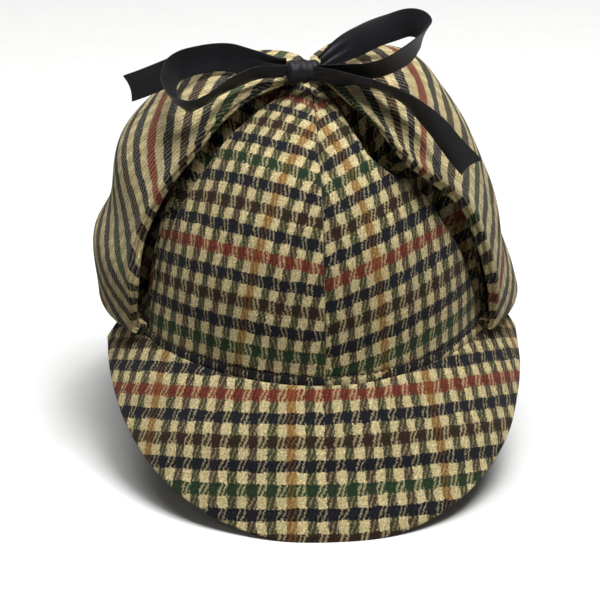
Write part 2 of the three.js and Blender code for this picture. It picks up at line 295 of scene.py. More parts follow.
# Shader values of the wool and the satin, and how their surfaces are raised and toned
WOOL = {"Roughness": 0.95, "Specular IOR Level": 0.15, "Sheen Weight": 0.1, "Sheen Roughness": 0.45}
SATIN = {"Specular IOR Level": 0.3, "Anisotropic": 0.4, "Sheen Weight": 0.04}
SLUBS = {"scale": 0.9, "detail": 3.0, "roughness": (0.42, 0.62), "tone": (0.75, 1.25)}
SATIN_RIBS = {"pitch": 0.42, "height": 0.3}
BUMP_DEPTH = 0.0002
BUMPS = {"wool": 0.6, "satin": 0.25}
SEWING_THREAD = {"roughness": 0.8, "scale": 2500.0, "tone": (0.6, 1.4)}
FLOOR = {"size": 9.0, "roughness": 0.9, "scale": 60.0, "tone": (0.97, 1.03)}

# Places of the share and the two colours among a Mix node's inputs, and of its colour among its outputs
MIX_INPUTS = (0, 6, 7)
MIX_OUTPUT = 2

# Camera and lamps, in metres: the view of the hat, and where its aim falls in a square picture
PICTURE = 600
CAMERA = {"azimuth": -4.5, "elevation": 19.0, "distance": 1.15, "focal_pixels": 2500.0, "sensor": 36.0}
AIM = Vector((0.0, 0.0, 0.094))
AIM_PIXEL = (307.5, 222.0)
LAMPS = named_rows(
    ("name", "place", "size", "share"),
    ("key", (0.4, -0.5, 2.0), 0.9, 1.0),
    ("fill", (-0.5, -1.7, 0.8), 1.5, 0.05),
    ("top", (-0.2, 0.3, 2.0), 1.4, 0.6),
)


def linear(red, green, blue):
    """Colour of a 0 to 255 display value, as the shaders take it."""
    shares = [value / 255 for value in (red, green, blue)]
    return (*[s / 12.92 if s <= 0.04045 else ((s + 0.055) / 1.055) ** 2.4 for s in shares], 1.0)


def colour_property(name, description, default):
    return bpy.props.FloatVectorProperty(
        name=name, description=description, default=default, size=4, min=0, max=1, subtype="COLOR"
    )


def length_property(name, description, default):
    return bpy.props.FloatProperty(
        name=name, description=description, default=default, min=0, unit="LENGTH"
    )


class HatCloth(bpy.types.PropertyGroup):
    check_width: length_property("Check width", "Repeat of the check along a row", 0.008)
    check_height: length_property("Check height", "Repeat of the check up a column", 0.0103)
    crown_wall: length_property("Crown cloth", "Thickness of the crown's cloth", 0.002)
    peak_wall: length_property("Peak cloth", "Thickness of a peak with both its faces", 0.003)
    flap_wall: length_property("Flap cloth", "Thickness of an ear flap with both its faces", 0.003)
    cream: colour_property("Cream", "Pale ground of the tweed", linear(220, 203, 152))
    navy: colour_property("Navy", "Main dark stripe", linear(24, 27, 38))
    brown: colour_property("Brown", "Brown stripe", linear(54, 38, 30))
    green: colour_property("Green", "Green stripe", linear(37, 62, 39))
    moss: colour_property("Moss", "Greenish stripe up the columns", linear(44, 50, 28))
    red: colour_property("Red", "Brick red stripe", linear(128, 56, 42))
    gold: colour_property("Gold", "Gold stripe", linear(148, 105, 45))


class HatRibbon(bpy.types.PropertyGroup):
    width: length_property("Width", "Width of the ribbon", 0.012)
    wall: length_property("Thickness", "Thickness of the ribbon", 0.0005)
    black: colour_property("Black", "Colour of the satin", linear(26, 26, 31))


class HatStage(bpy.types.PropertyGroup):
    floor: colour_property("Floor", "Colour of the floor", linear(250, 250, 249))
    bounce: colour_property("Bounce", "Colour of the light off the floor", linear(130, 128, 124))
    sky: bpy.props.FloatProperty(
        name="Sky", description="Strength of the light all round", default=0.07, min=0
    )
    power: bpy.props.FloatProperty(
        name="Key power", description="Power of the key light", default=37.0, min=0, unit="POWER"
    )


def mix(start, end, share):
    return start + (end - start) * share


def unit(vectors):
    return vectors / np.maximum(np.linalg.norm(vectors, axis=-1, keepdims=True), LEAST_LENGTH)


def points(x, y, z):
    return np.stack(np.broadcast_arrays(x, y, z), axis=-1).astype(float)


def crowded(count):
    """Shares from 0 to 1 that lie closer together at both ends."""
    return (1 - np.cos(np.linspace(0, math.pi, count))) / 2


def eased(share):
    """A share that leaves 0 and reaches 1 gently."""
    return share * share * (3 - 2 * share)


def hump(distance, width):
    """1 at no distance, dying away to either side."""
    return np.exp(-((distance / width) ** 2))


def curve(start, end, leave, arrive, share):
    """Cubic between two values, with its rates of change at both ends."""
    cubic = 2 * (start - end) + leave + arrive
    square = 3 * (end - start) - 2 * leave - arrive
    return ((cubic * share + square) * share + leave) * share + start


def distances(line):
    """How far each point lies along its line, or along its column of a grid."""
    return np.cumsum(np.linalg.norm(np.diff(line, axis=0, prepend=line[:1]), axis=-1), axis=0)


def ripple(cut, cloth, number):
    """Soft unevenness of handled cloth, in mm, the same on each run."""
    draw = np.random.default_rng(RIPPLES[cloth]["seed"] + number)
    total = np.zeros(cut.shape[:-1])
    for _ in range(WAVES["count"]):
        wave = 2 * math.pi / draw.uniform(WAVES["shortest"], WAVES["longest"])
        turn = draw.uniform(0, math.pi)
        start = draw.uniform(0, 2 * math.pi)
        total += np.sin(wave * (cut[..., 0] * math.cos(turn) + cut[..., 1] * math.sin(turn)) + start)
    return RIPPLES[cloth]["size"] * total / WAVES["full"]


# The crown's dome

def spread(share):
    """Share of the full width that the crown keeps at a share of its height."""
    full = np.clip(1 - np.asarray(share, float) ** CROWN["rise"], 0, None)
    return (1 - CROWN["lean"] * share) * full ** (1 / CROWN["round"])


def dome_point(angle, share, grow):
    wide = spread(share)
    return points(
        (CROWN["half_width"] + grow) * wide * np.cos(angle),
        (CROWN["half_length"] + grow) * wide * np.sin(angle),
        RIM_BACK_Z + (CROWN["height"] + grow) * share,
    )


def rim_share(angle):
    return RIM_SIDE_RISE * np.cos(angle) ** 2 / CROWN["height"]


def dome_half_width(y, share, grow):
    along = y / (CROWN["half_length"] + grow)
    return (CROWN["half_width"] + grow) * np.sqrt(np.clip(spread(share) ** 2 - along**2, 0, None))


def top_share(y, grow):
    """Highest share of the dome that still reaches a distance y."""
    shares = 1 - np.linspace(0, 1, SAMPLES["top"]) ** 2
    return np.interp(np.abs(y) / (CROWN["half_length"] + grow), spread(shares), shares)


# Cloth as closed sheets

def border(rows, columns):
    """Indices round a grid: along its first row, up its last column, and back round to the start."""
    along = [(0, j) for j in range(columns)]
    along += [(i, columns - 1) for i in range(1, rows)]
    along += [(rows - 1, j) for j in range(columns - 2, -1, -1)]
    along += [(i, 0) for i in range(rows - 2, 0, -1)]
    return tuple(np.array(along).T)


def edge_distance(cut):
    """How far each point of a flat cut lies from its nearest side, in mm."""
    sides = cut[border(*cut.shape[:2])]
    return np.linalg.norm(cut[..., None, :] - sides, axis=-1).min(axis=-1)


def way_round(edge):
    """Direction of a closed line at each of its points."""
    return unit(np.roll(edge, -1, axis=0) - np.roll(edge, 1, axis=0))


def grid_normals(grid):
    return unit(np.cross(np.gradient(grid, axis=1), np.gradient(grid, axis=0)))


def closed_sheet(name, grid, cut, wall, rolls=1, lowest=None, normal=None):
    """Closed cloth about a grid of middle points, its edge rounded in one or two rolls.

    Seen from outside, the grid's columns run to the right and its rows upwards.
    The cut holds each point's place in the flat cloth, which becomes the UV map.
    """
    rows, columns = grid.shape[:2]
    normal = grid_normals(grid) if normal is None else normal
    half = np.broadcast_to(np.asarray(wall, float), (rows, columns))[..., None] / 2
    rim = border(rows, columns)
    out = unit(np.cross(way_round(grid[rim]), normal[rim]))
    cut_out = way_round(cut[rim])[:, ::-1] * (1, -1)
    cut_out *= np.sign((cut_out * (cut[rim] - cut.mean(axis=(0, 1)))).sum())
    radius = half[rim] / rolls
    rings, ring_cuts = [], []
    for k in range(1, rolls * EDGE_STEPS):
        roll, turn = k // EDGE_STEPS, math.pi * (k % EDGE_STEPS) / EDGE_STEPS
        middle = half[rim] - radius * (1 + 2 * roll)
        raised = grid[rim] + normal[rim] * (middle + radius * math.cos(turn))
        rings.append(raised + out * radius * math.sin(turn))
        ring_cuts.append(cut[rim] + cut_out * radius * math.pi * k / EDGE_STEPS)
    outer = (grid + normal * half).reshape(-1, 3)
    inner = (grid - normal * half).reshape(-1, 3)
    shell = np.concatenate([outer, *rings, inner])
    if lowest is not None:
        shell[:, 2] = np.maximum(shell[:, 2], lowest)
    around = len(rim[0])
    first_inner = rows * columns + len(rings) * around
    flat = np.arange(rows * columns).reshape(rows, columns)
    low_left, low_right, top_right, top_left = flat[:-1, :-1], flat[:-1, 1:], flat[1:, 1:], flat[1:, :-1]
    front = np.stack([low_left, low_right, top_right, top_left], -1).reshape(-1, 4)
    back = np.stack([low_left, top_left, top_right, low_right], -1).reshape(-1, 4)
    cuts = cut.reshape(-1, 2)
    loops = [flat[rim]]
    loops += [rows * columns + k * around + np.arange(around) for k in range(len(rings))]
    loops.append(first_inner + flat[rim])
    loop_cuts = [cut[rim], *ring_cuts, cut[rim] + cut_out * radius * math.pi * rolls]
    faces, uvs = [front, back + first_inner], [cuts[front], cuts[back]]
    for k in range(len(loops) - 1):
        for made, (here, below) in ((faces, loops[k : k + 2]), (uvs, loop_cuts[k : k + 2])):
            made.append(np.stack([here, below, np.roll(below, -1, 0), np.roll(here, -1, 0)], 1))
    return mesh_piece(name, shell * MM, np.concatenate(faces).tolist(), np.concatenate(uvs))


def mesh_piece(name, vertices, faces, uvs):
    """Object of smooth faces at the origin, with a UV map named cut where one is given."""
    mesh = bpy.data.meshes.new(name)
    mesh.from_pydata(vertices.tolist(), [], faces)
    if uvs is not None:
        mesh.uv_layers.new(name="cut").data.foreach_set("uv", uvs.reshape(-1).astype(np.float32))
    mesh.shade_smooth()
    mesh.update()
    piece = bpy.data.objects.new(name, mesh)
    bpy.context.scene.collection.objects.link(piece)
    return piece


def dress(piece, material, slot, *nodes):
    """Gives a finished piece its material and its place on the hat."""
    piece.data.materials.append(material)
    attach(piece, BODY)
    if nodes:
        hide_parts(*nodes)


# Shader nodes

def wire(tree, socket, value):
    if isinstance(value, bpy.types.NodeSocket):
        tree.links.new(value, socket)
    else:
        socket.default_value = value


def maths(tree, operation, *values):
    node = tree.nodes.new("ShaderNodeMath")
    node.operation = operation
    for socket, value in zip(node.inputs, values):
        wire(tree, socket, value)
    return node.outputs[0]


def blend_colours(tree, share, first, second, way="MIX"):
    node = tree.nodes.new("ShaderNodeMix")
    node.data_type = "RGBA"
    node.blend_type = way
    for socket, value in zip(MIX_INPUTS, (share, first, second)):
        wire(tree, node.inputs[socket], value)
    return node.outputs[MIX_OUTPUT]


def toned(tree, colour, tone):
    return blend_colours(tree, 1.0, colour, tone, "MULTIPLY")


def noise(tree, place, scale, detail=2.0):
    """Outputs of a noise: Fac, and Color for three that differ from one another."""
    node = tree.nodes.new("ShaderNodeTexNoise")
    for socket, value in (("Vector", place), ("Scale", scale), ("Detail", detail)):
        wire(tree, node.inputs[socket], value)
    return node.outputs


def parts(tree, vector):
    """The three values of a vector or a colour."""
    node = tree.nodes.new("ShaderNodeSeparateXYZ")
    wire(tree, node.inputs[0], vector)
    return node.outputs


def ranged(tree, value, low, high):
    """A 0 to 1 value stretched to run from low to high."""
    return maths(tree, "MULTIPLY_ADD", value, high - low, low)


def node_group(name, inputs, outputs):
    """Empty shader group with named sockets, and its input and output nodes."""
    group = bpy.data.node_groups.new(name, "ShaderNodeTree")
    for way, sockets in (("INPUT", inputs), ("OUTPUT", outputs)):
        for socket, kind in sockets.items():
            group.interface.new_socket(socket, in_out=way, socket_type=kind)
    return group, group.nodes.new("NodeGroupInput"), group.nodes.new("NodeGroupOutput")


def band_colours(tree, thread, bands, cloth):
    """Colour of a numbered thread, and the share of a repeat that shows the warp beside it."""
    ramp = tree.nodes.new("ShaderNodeValToRGB")
    ramp.color_ramp.interpolation = "CONSTANT"
    stops = ramp.color_ramp.elements
    count = 2 * len(bands)
    while len(stops) < count:
        stops.new(0.5)
    for k in range(count):
        name, showing = CREAM_BAND if k % 2 else bands[k // 2]
        stops[k].position = k / count
        stops[k].color = (*getattr(cloth, name)[:3], showing / TWILL["repeat"])
    repeat = maths(tree, "MULTIPLY_ADD", thread, 1 / (count * BAND_THREADS), 0.5 / (count * BAND_THREADS))
    wire(tree, ramp.inputs["Fac"], maths(tree, "FRACT", repeat))
    return ramp.outputs["Color"], ramp.outputs["Alpha"]


def thread_tone(tree, thread):
    """A lightness that differs from thread to thread."""
    node = tree.nodes.new("ShaderNodeTexWhiteNoise")
    node.noise_dimensions = "1D"
    wire(tree, node.inputs["W"], thread)
    return ranged(tree, node.outputs["Value"], *THREAD_TONE)


def dark_band(tree, thread):
    """1 for a numbered thread of a dark band and 0 for a cream one."""
    place = maths(tree, "FLOORED_MODULO", thread, 2.0 * BAND_THREADS)
    return maths(tree, "LESS_THAN", place, BAND_THREADS)


def blurred(tree, within, width):
    """1 inside an edge and 0 outside it, softened over a width."""
    node = tree.nodes.new("ShaderNodeMapRange")
    node.interpolation_type = "SMOOTHSTEP"
    for socket, value in (("Value", within), ("From Min", -width / 2), ("From Max", width / 2)):
        wire(tree, node.inputs[socket], value)
    return node.outputs["Result"]


def yarn_round(tree, place):
    """Roundness of the two yarns that lie side by side in each thread."""
    aside = maths(tree, "FRACT", maths(tree, "MULTIPLY", place, YARNS))
    return maths(tree, "SINE", maths(tree, "MULTIPLY", aside, math.pi))


def weave_group(cloth):
    """Steep twill of banded threads: a houndstooth check with a coloured overcheck."""
    group, given, made = node_group(
        WEAVE,
        {"Cloth": "NodeSocketVector", **dict.fromkeys(("Twill", *TWEEDS["tweed"]), "NodeSocketFloat")},
        {"Color": "NodeSocketColor", "Height": "NodeSocketFloat"},
    )
    thread_wide = cloth.check_width / MM / (2 * BAND_THREADS)
    thread_high = cloth.check_height / MM / (2 * BAND_THREADS)
    across, up, _ = parts(group, given.outputs["Cloth"])
    for scale, reach in STRAYING:
        stray = parts(group, noise(group, given.outputs["Cloth"], scale)["Color"])
        across = maths(group, "ADD", across, ranged(group, stray[0], -reach, reach))
        up = maths(group, "ADD", up, ranged(group, stray[1], -reach, reach))
    warp_place = maths(group, "DIVIDE", across, thread_wide)
    weft_place = maths(group, "DIVIDE", up, thread_high)
    warp, weft = maths(group, "FLOOR", warp_place), maths(group, "FLOOR", weft_place)
    warp_colour, over_cream = band_colours(group, warp, WARP_BANDS, cloth)
    weft_colour, over_dark = band_colours(group, weft, WEFT_BANDS, cloth)
    warp_colour = blend_colours(group, given.outputs["Cross bands"], cloth.cream, warp_colour)
    dark_weft = dark_band(group, weft)
    over_dark = maths(group, "MULTIPLY", over_dark, given.outputs["Strokes"])
    showing = blend_colours(group, dark_weft, over_cream, over_dark)
    uneven = ranged(group, stray[2], -TWILL["uneven"], TWILL["uneven"])
    showing = maths(group, "MULTIPLY_ADD", showing, TWILL["repeat"], uneven)
    climb = maths(group, "MULTIPLY", weft, TWILL["step"])
    phase = maths(group, "MULTIPLY_ADD", climb, given.outputs["Twill"], warp_place)
    turn = maths(group, "PINGPONG", phase, TWILL["repeat"] / 2)
    within = maths(group, "MULTIPLY_ADD", showing, 0.5, maths(group, "MULTIPLY", turn, -1.0))
    veil = ranged(group, dark_weft, 1 - TWILL["veil"], 1 - TWILL["mute"])
    warp_shows = maths(group, "MULTIPLY", blurred(group, within, TWILL["soft"]), veil)
    colour = blend_colours(group, warp_shows, weft_colour, warp_colour)
    tone = blend_colours(group, warp_shows, thread_tone(group, weft), thread_tone(group, warp))
    fluff = noise(group, given.outputs["Cloth"], FIBRES["scale"], FIBRES["detail"])["Fac"]
    fibres = ranged(group, fluff, *FIBRES["tone"])
    colour = toned(group, toned(group, colour, tone), fibres)
    lean = maths(group, "MULTIPLY", given.outputs["Twill"], RIBS["step"])
    slant = maths(group, "MULTIPLY_ADD", weft_place, lean, warp_place)
    hollow = maths(group, "PINGPONG", maths(group, "DIVIDE", slant, RIBS["pitch"] / 2), 1.0)
    raised = maths(group, "SUBTRACT", 0.5, hollow)
    # Painted shade and light of the twill's ribs: the colour is darker in their hollows and lighter along
    # their crests
    rib_shade = maths(group, "MULTIPLY_ADD", raised, given.outputs["Ribs"], 1.0)
    colour = toned(group, colour, rib_shade)
    pale = maths(group, "MULTIPLY", maths(group, "MAXIMUM", raised, 0.0), given.outputs["Pale ribs"])
    colour = blend_colours(group, maths(group, "MULTIPLY", pale, dark_weft), colour, cloth.cream)
    height = blend_colours(group, warp_shows, yarn_round(group, weft_place), yarn_round(group, warp_place))
    # Painted shade: each yarn's colour is darker towards its sides, where its roundness turns from the
    # light
    wire(group, made.inputs["Color"], toned(group, colour, ranged(group, height, *YARN_SHADE)))
    wire(group, made.inputs["Height"], maths(group, "ADD", height, fibres))
    return group


def bare_material(name, values):
    """New material with plain values on its shader's own sockets."""
    material = bpy.data.materials.new(name)
    material.use_nodes = True
    shader = material.node_tree.nodes["Principled BSDF"]
    for socket, value in values.items():
        shader.inputs[socket].default_value = value
    return material, material.node_tree, shader


def cut_place(tree):
    node = tree.nodes.new("ShaderNodeUVMap")
    node.uv_map = "cut"
    return node.outputs["UV"]


def bump(tree, shader, height, strength):
    node = tree.nodes.new("ShaderNodeBump")
    for socket, value in (("Strength", strength), ("Distance", BUMP_DEPTH), ("Height", height)):
        wire(tree, node.inputs[socket], value)
    wire(tree, shader.inputs["Normal"], node.outputs["Normal"])


def tweed(cloth, finish, twill):
    """Woollen tweed of one finish, whose twill runs one way or the other."""
    name = f"{finish}_{twill:+d}"
    found = bpy.data.materials.get(name)
    if found:
        return found
    material, tree, shader = bare_material(name, WOOL)
    weave = tree.nodes.new("ShaderNodeGroup")
    weave.node_tree = bpy.data.node_groups.get(WEAVE) or weave_group(cloth)
    for socket, value in {"Cloth": cut_place(tree), "Twill": twill, **TWEEDS[finish]}.items():
        wire(tree, weave.inputs[socket], value)
    wire(tree, shader.inputs["Base Color"], weave.outputs["Color"])
    bump(tree, shader, weave.outputs["Height"], BUMPS["wool"])
    return material


def grained(tree, colour, grain):
    """Colour with a fine grain of lighter and darker tones."""
    place = tree.nodes.new("ShaderNodeTexCoord").outputs["Object"]
    return toned(tree, colour, ranged(tree, noise(tree, place, grain["scale"])["Fac"], *grain["tone"]))


def sewing_thread(cloth):
    """Dark sewing thread with a slight twist of tone."""
    material, tree, shader = bare_material("sewing_thread", {"Roughness": SEWING_THREAD["roughness"]})
    wire(tree, shader.inputs["Base Color"], grained(tree, cloth.brown, SEWING_THREAD))
    return material


def satin(ribbon):
    """Black satin with fine ribs across its length."""
    material, tree, shader = bare_material("black_satin", SATIN)
    place = cut_place(tree)
    along = parts(tree, place)["Y"]
    slubs = noise(tree, place, SLUBS["scale"], SLUBS["detail"])["Fac"]
    ribs = maths(tree, "SINE", maths(tree, "MULTIPLY", along, 2 * math.pi / SATIN_RIBS["pitch"]))
    tone = ranged(tree, slubs, *SLUBS["tone"])
    wire(tree, shader.inputs["Roughness"], ranged(tree, slubs, *SLUBS["roughness"]))
    wire(tree, shader.inputs["Base Color"], toned(tree, ribbon.black, tone))
    bump(tree, shader, maths(tree, "MULTIPLY_ADD", ribs, SATIN_RIBS["height"], slubs), BUMPS["satin"])
    return material


# Crown, peaks and flaps

def panel_cut(panel, off_axis, share):
    """Place of each panel point in the flat cloth, its sides opened out as a cut gore's are."""
    axis = math.radians(panel["deg"])
    radius = math.hypot(CROWN["half_width"] * math.cos(axis), CROWN["half_length"] * math.sin(axis))
    shares = np.sin(np.linspace(0, math.pi / 2, SAMPLES["climb"])) ** (2 / CROWN["rise"])
    wide = spread(shares) * radius
    climb = np.concatenate([[0], np.cumsum(np.hypot(np.diff(wide), np.diff(shares) * CROWN["height"]))])
    narrowing = np.clip(-np.gradient(wide, climb), LEAST_NARROWING, None)
    arc = np.interp(share, shares, wide) * off_axis
    bend = np.interp(share, shares, narrowing) * off_axis
    bend = np.where(np.abs(bend) < TINY, TINY, bend)
    across = arc * np.sin(bend) / bend
    up = np.interp(share, shares, climb) + arc * (1 - np.cos(bend)) / bend
    return np.stack([across, up], -1)


def turned_cut(cut, row):
    """Flat cut with its check tilted and started as a table row says."""
    across, up = cut[..., 0], cut[..., 1]
    tilt, lean = row.get("tilt", 0.0), row.get("lean", 0.0)
    return np.stack([across - lean * up + row["across"], up - tilt * across + row["up"]], -1)


def panel_rises():
    """Shares of the way up a panel, close together over the rim."""
    reach = PANEL_GRID["rim_reach"]
    low = np.linspace(0, reach, PANEL_GRID["rim_rows"], endpoint=False)
    first = math.asin(reach ** (CROWN["rise"] / 2))
    turn = np.linspace(first, math.radians(CROWN_TOP_DEG), PANEL_GRID["rows"])
    return np.concatenate([low, np.sin(turn) ** (2 / CROWN["rise"])])[:, None]


def flap_crease(flap, panel, cut):
    """Depth to which a panel sinks beside and under the rear edge of a flap."""
    up = np.linspace(0, 1, CREASE["points"])
    edge, stand = flap_point(flap["table"], flap["facing"], -np.ones_like(up), up)
    angle = np.arctan2(
        edge[:, 1] / (CROWN["half_length"] + stand), edge[:, 0] / (CROWN["half_width"] + stand)
    )
    off_axis = (angle - math.radians(panel["deg"]) + math.pi) % (2 * math.pi) - math.pi
    over = np.abs(off_axis) < math.radians(PANEL_DEG)
    if not over.any():
        return 0 * cut[..., 0]
    share = (edge[:, 2] - RIM_BACK_Z) / (CROWN["height"] + stand)
    footprint = panel_cut(panel, off_axis[over], share[over])
    away = cut[..., None, :] - footprint
    distance = np.linalg.norm(away, axis=-1)
    nearest = distance.argmin(-1)
    along = np.gradient(footprint, axis=0)[nearest]
    away = np.take_along_axis(away, nearest[..., None, None], axis=-2)[..., 0, :]
    side = flap["facing"] * np.sign(along[..., 1] * away[..., 0] - along[..., 0] * away[..., 1])
    covered = side * distance.min(-1)
    rises, *values = np.array(flap["crease"]).T
    depth, reach = [np.interp(up[over], rises, value)[nearest] for value in values]
    sunk = eased(np.clip((covered + reach) / CREASE["width"], 0, 1))
    return depth * sunk * hump(np.maximum(covered, 0), CREASE["under"])


def crown_panel(panel, wall):
    """One sixth of the crown, pinched in at its seams and along the stitching over the rim."""
    rise = panel_rises()
    radius = (CROWN["half_width"] + CROWN["half_length"]) / 2 * spread(rise)
    half_span = math.radians(PANEL_DEG) / 2 - (wall / 2 + SEAM["gap"]) / radius
    half_span = np.maximum(half_span, PANEL_GRID["least_span"])
    off_axis = half_span * (2 * crowded(PANEL_GRID["columns"])[None, :] - 1)
    angle = math.radians(panel["deg"]) + off_axis
    share = mix(rim_share(angle), 1, rise)
    cut = panel_cut(panel, off_axis, share)
    from_seam = (math.radians(PANEL_DEG) / 2 - np.abs(off_axis)) * radius
    from_rim = cut[..., 1] - cut[:1, :, 1]
    grow = -wall / 2 - SEAM["depth"] * hump(from_seam, SEAM["width"])
    grow -= RIM_STITCH["depth"] * hump(from_rim - RIM_STITCH["height"], RIM_STITCH["width"])
    grow += RIM_ROLL["swell"] * hump(from_rim - RIM_ROLL["height"], RIM_ROLL["width"])
    calm = 1 - hump(from_seam, RIPPLES["crown"]["from_seam"])
    grow += calm * ripple(cut, "crown", panel["deg"])
    for flap in FLAPS:
        grow -= calm * flap_crease(flap, panel, cut)
    grid = dome_point(angle, share, grow)
    return grid, turned_cut(cut, panel)


def stitch_line(panel, wall):
    """Points of a panel's outer face along its stitching, with the outward direction of each."""
    grid, _ = crown_panel(panel, wall)
    normal = grid_normals(grid)
    face = grid + normal * wall / 2
    row = np.argmax(distances(face) > RIM_STITCH["height"], axis=0)
    column = np.arange(grid.shape[1])
    return face[row, column], normal[row, column]


def stitches(line, normal):
    """Corners and faces of short arched threads along a line, each with its two ends closed."""
    walked = distances(line)
    first = np.arange(STITCH["pitch"] / 2, walked[-1] - STITCH["length"], STITCH["pitch"])
    share = np.linspace(0, 1, STITCH["rings"])
    turn = np.linspace(0, 2 * math.pi, STITCH["sides"], endpoint=False)
    at = (first[:, None] + STITCH["length"] * share).ravel()
    place, out, along = [
        np.stack([np.interp(at, walked, values[:, k]) for k in range(3)], -1)
        for values in (line, normal, np.gradient(line, axis=0))
    ]
    out, along = unit(out), unit(along)
    taper = np.sin(math.pi * mix(STITCH["end"], 1 - STITCH["end"], share))
    taper = np.tile(taper, len(first))[:, None]
    middle = place + out * STITCH["arch"] * (2 * taper - 1)
    radius = (STITCH["radius"] * np.sqrt(taper))[..., None]
    side = np.cross(along, out)
    ring = side[:, None] * np.cos(turn)[None, :, None] + out[:, None] * np.sin(turn)[None, :, None]
    vertices = (middle[:, None] + radius * ring).reshape(-1, 3)
    flat = np.arange(len(vertices)).reshape(len(first), STITCH["rings"], STITCH["sides"])
    here, beyond = flat[:, :-1], flat[:, 1:]
    walls = np.stack([here, beyond, np.roll(beyond, -1, 2), np.roll(here, -1, 2)], -1).reshape(-1, 4)
    return vertices, walls.tolist() + flat[:, 0].tolist() + flat[:, -1, ::-1].tolist()


def peak_sheet(peak, wall):
    """Peak sewn to the rim, its rows running from its free edge up to the seam."""
    turn = PEAK["half_deg"] * np.linspace(-1, 1, PEAK_GRID["columns"])[None, :]
    down = 1 - crowded(PEAK_GRID["rows"])[:, None]
    angle = np.radians(peak["facing"] * 90 - peak["facing"] * turn)
    middle = np.clip(np.cos(np.radians(90 * turn / PEAK["half_deg"])), 0, None)
    depth = mix(PEAK["end_depth"], PEAK["depth"], middle**PEAK_FULLNESS)
    slope = mix(PEAK["end_slope"], PEAK["slope"], middle**PEAK_SLOPE_FULLNESS)
    first = np.radians(slope - PEAK["bend"])
    sweep = math.radians(2 * PEAK["bend"])
    along = mix(-PEAK_TUCK, depth - wall / 4, down)
    now = first + sweep * along / depth
    out = depth * (np.sin(now) - np.sin(first)) / sweep + PEAK_SEAM["out"]
    fall = depth * (np.cos(first) - np.cos(now)) / sweep + PEAK_SEAM["down"]
    rim = dome_point(angle, rim_share(angle), 0)
    outward = points(np.cos(angle) / CROWN["half_width"], np.sin(angle) / CROWN["half_length"], 0)
    grid = rim + unit(outward) * out[..., None]
    grid[..., 2] = rim[..., 2] - fall
    reach = PEAK_CUT["radius"] / PEAK_CUT["cone"]
    swing = np.radians(turn) * PEAK_CUT["cone"]
    cut = np.stack([(reach + along) * np.sin(swing), reach - (reach + along) * np.cos(swing)], -1)
    free = ripple(cut, "peak", peak["facing"]) * np.clip(along / RIPPLES["peak"]["from_seam"], 0, 1)
    grid += grid_normals(grid) * free[..., None]
    return grid, turned_cut(cut, peak)


def laid_flat(grid):
    """Place of each point of a curved cloth laid out flat, with its middle column straight."""
    middle = grid.shape[1] // 2
    steps = np.diff(grid, axis=1)
    length = np.linalg.norm(steps, axis=-1)
    along = unit(steps)
    bend = (np.cross(along[:, :-1], along[:, 1:]) * grid_normals(grid)[:, 1:-1]).sum(-1)
    heading = np.cumsum(np.pad(np.arcsin(bend), ((0, 0), (1, 0))), axis=1)
    heading -= heading[:, middle - 1 : middle + 1].mean(axis=1, keepdims=True)
    moves = np.stack([length * np.cos(heading), length * np.sin(heading)], -1)
    flat = np.cumsum(np.pad(moves, ((0, 0), (1, 0), (0, 0))), axis=1)
    flat -= flat[:, middle : middle + 1]
    flat[..., 1] += distances(grid[:, middle])[:, None]
    return flat


def table_value(table, column, up):
    """One column of a flap table at shares of the way up, read smoothly between its rows."""
    values = np.array(table, float)
    at = np.clip(np.searchsorted(values[:, 0], up) - 1, 0, len(table) - 2)
    rows = [np.clip(at + k, 0, len(table) - 1) for k in (-1, 0, 1, 2)]
    before, start, end, after = values[:, FLAP_COLUMNS.index(column)][np.array(rows)]
    share = (up - values[at, 0]) / (values[at + 1, 0] - values[at, 0])
    return curve(start, end, (end - before) / 2, (after - start) / 2, share)


def flap_point(table, facing, across, up):
    """Point of a flap's middle surface, from its rear edge (-1) to its front edge (1)."""
    rear = across < 0
    y = across * np.where(rear, table_value(table, "rear", up), table_value(table, "front", up))
    edge = np.where(rear, table_value(table, "stand_rear", up), table_value(table, "stand_front", up))
    stand = mix(table_value(table, "stand", up), edge, across**2)
    share = top_share(y, stand) * np.sin(up * FLAP_REACH * math.pi / 2) ** FLAP_EASE
    x = facing * dome_half_width(y, share, stand)
    return points(x, y, RIM_BACK_Z + (CROWN["height"] + stand) * share), stand


def flap_normals(table, facing, across, up):
    """Outward direction of a flap's middle surface."""
    nudges = (FLAP_NUDGE, -FLAP_NUDGE)
    ahead, behind = [flap_point(table, facing, np.clip(across + k, -1, 1), up)[0] for k in nudges]
    above, below = [flap_point(table, facing, across, np.minimum(up + k, 1))[0] for k in nudges]
    return unit(np.cross(facing * (ahead - behind), above - below))


def flap_start(table, facing, across):
    """Share of the way up at which each column of a flap leaves its fold."""
    ups = np.linspace(0, 1, SAMPLES["fold"])[:, None]
    height = flap_point(table, facing, across[None, :], ups)[0][..., 2]
    reached = height >= RIM_BACK_Z + FLAP_FOLD["height"]
    return ups[np.argmax(reached, axis=0), 0]


